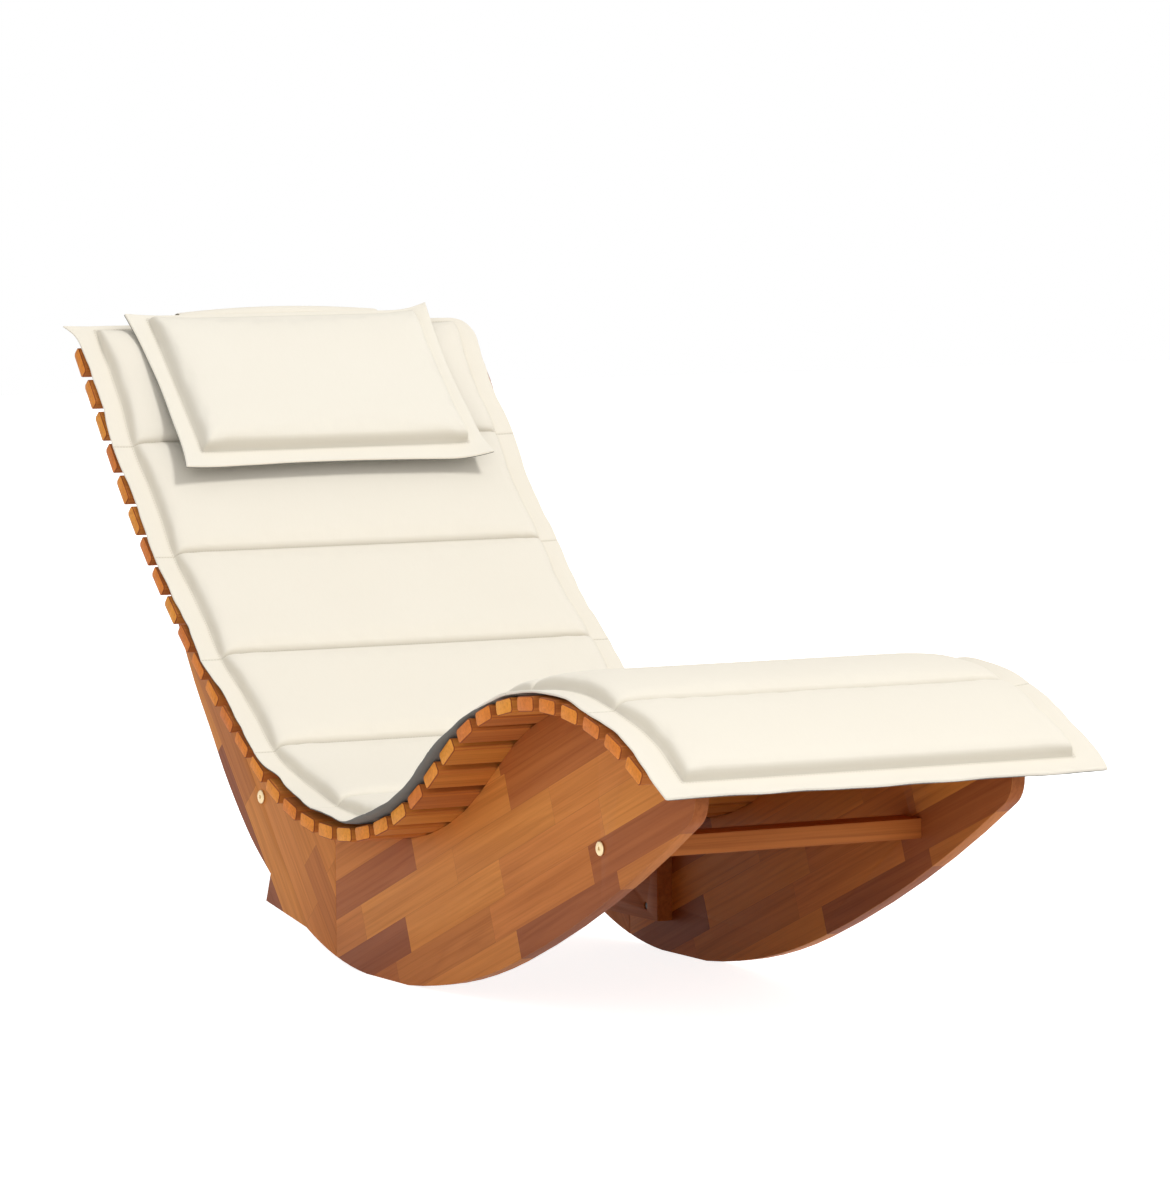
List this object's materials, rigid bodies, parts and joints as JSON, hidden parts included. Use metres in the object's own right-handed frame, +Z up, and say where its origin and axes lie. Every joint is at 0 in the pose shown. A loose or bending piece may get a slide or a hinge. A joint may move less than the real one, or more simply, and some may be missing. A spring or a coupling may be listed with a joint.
{
  "type": "rocking chaise lounge",
  "caption": "Low wooden rocking lounger with cross slats on a flowing S-shaped lying curve, solid side rockers, a channelled cushion and a folding head pillow.",
  "frame": {"origin": "on the floor under the middle of the whole lounge, halfway between its sides", "axes": "+X towards the foot end, +Y towards the left side of a person lying on it, +Z up"},
  "size_m": [1.6526, 0.6, 0.8121],
  "materials": {
    "slat_wood": "oiled reddish brown hardwood with eased edges, satin",
    "side_wood": "oiled hardwood staves glued edge to edge, satin",
    "rail_wood": "oiled hardwood, satin",
    "cushion_cloth": "plain cream canvas over soft padding, sewn in cross channels",
    "pillow_cloth": "plain cream canvas over soft padding, with a flat sewn border",
    "bolt_metal": "pale satin brass",
    "nut_metal": "zinc plated steel",
    "screw_metal": "dark steel"
  },
  "bodies": {
    "frame": {"slat_01": "slat_wood", "slat_02": "slat_wood", "slat_03": "slat_wood", "slat_04": "slat_wood", "slat_05": "slat_wood", "slat_06": "slat_wood", "slat_07": "slat_wood", "slat_08": "slat_wood", "slat_09": "slat_wood", "slat_10": "slat_wood", "slat_11": "slat_wood", "slat_12": "slat_wood", "slat_13": "slat_wood", "slat_14": "slat_wood", "slat_15": "slat_wood", "slat_16": "slat_wood", "slat_17": "slat_wood", "slat_18": "slat_wood", "slat_19": "slat_wood", "slat_20": "slat_wood", "slat_21": "slat_wood", "slat_22": "slat_wood", "slat_23": "slat_wood", "slat_24": "slat_wood", "slat_25": "slat_wood", "slat_26": "slat_wood", "slat_27": "slat_wood", "slat_28": "slat_wood", "slat_29": "slat_wood", "slat_30": "slat_wood", "slat_31": "slat_wood", "slat_32": "slat_wood", "slat_33": "slat_wood", "slat_34": "slat_wood", "slat_35": "slat_wood", "right_back_panel": "side_wood", "right_front_panel": "side_wood", "left_back_panel": "side_wood", "left_front_panel": "side_wood", "right_joint_cleat": "rail_wood", "left_joint_cleat": "rail_wood", "rear_rail": "rail_wood", "front_rail": "rail_wood", "rear_right_bolt": "bolt_metal", "rear_left_bolt": "bolt_metal", "front_right_bolt": "bolt_metal", "front_left_bolt": "bolt_metal", "rear_right_barrel_nut": "nut_metal", "rear_left_barrel_nut": "nut_metal", "front_right_barrel_nut": "nut_metal", "front_left_barrel_nut": "nut_metal", "right_cleat_screw_1": "screw_metal", "right_cleat_screw_2": "screw_metal", "left_cleat_screw_1": "screw_metal", "left_cleat_screw_2": "screw_metal"},
    "cushion": {"cushion": "cushion_cloth", "pillow_flap": "pillow_cloth"},
    "pillow": {"pillow": "pillow_cloth"}
  },
  "joints": [
    {"name": "cushion_lift", "type": "slide", "parent": "frame", "child": "cushion", "axis": [0, 0, 1], "range_m": [0, 0.2]},
    {"name": "pillow_flip", "type": "hinge", "parent": "cushion", "child": "pillow", "pos_m": [-0.7738, 0, 0.8044], "axis": [0, -1, 0], "range_deg": [0, 135]}
  ]
}
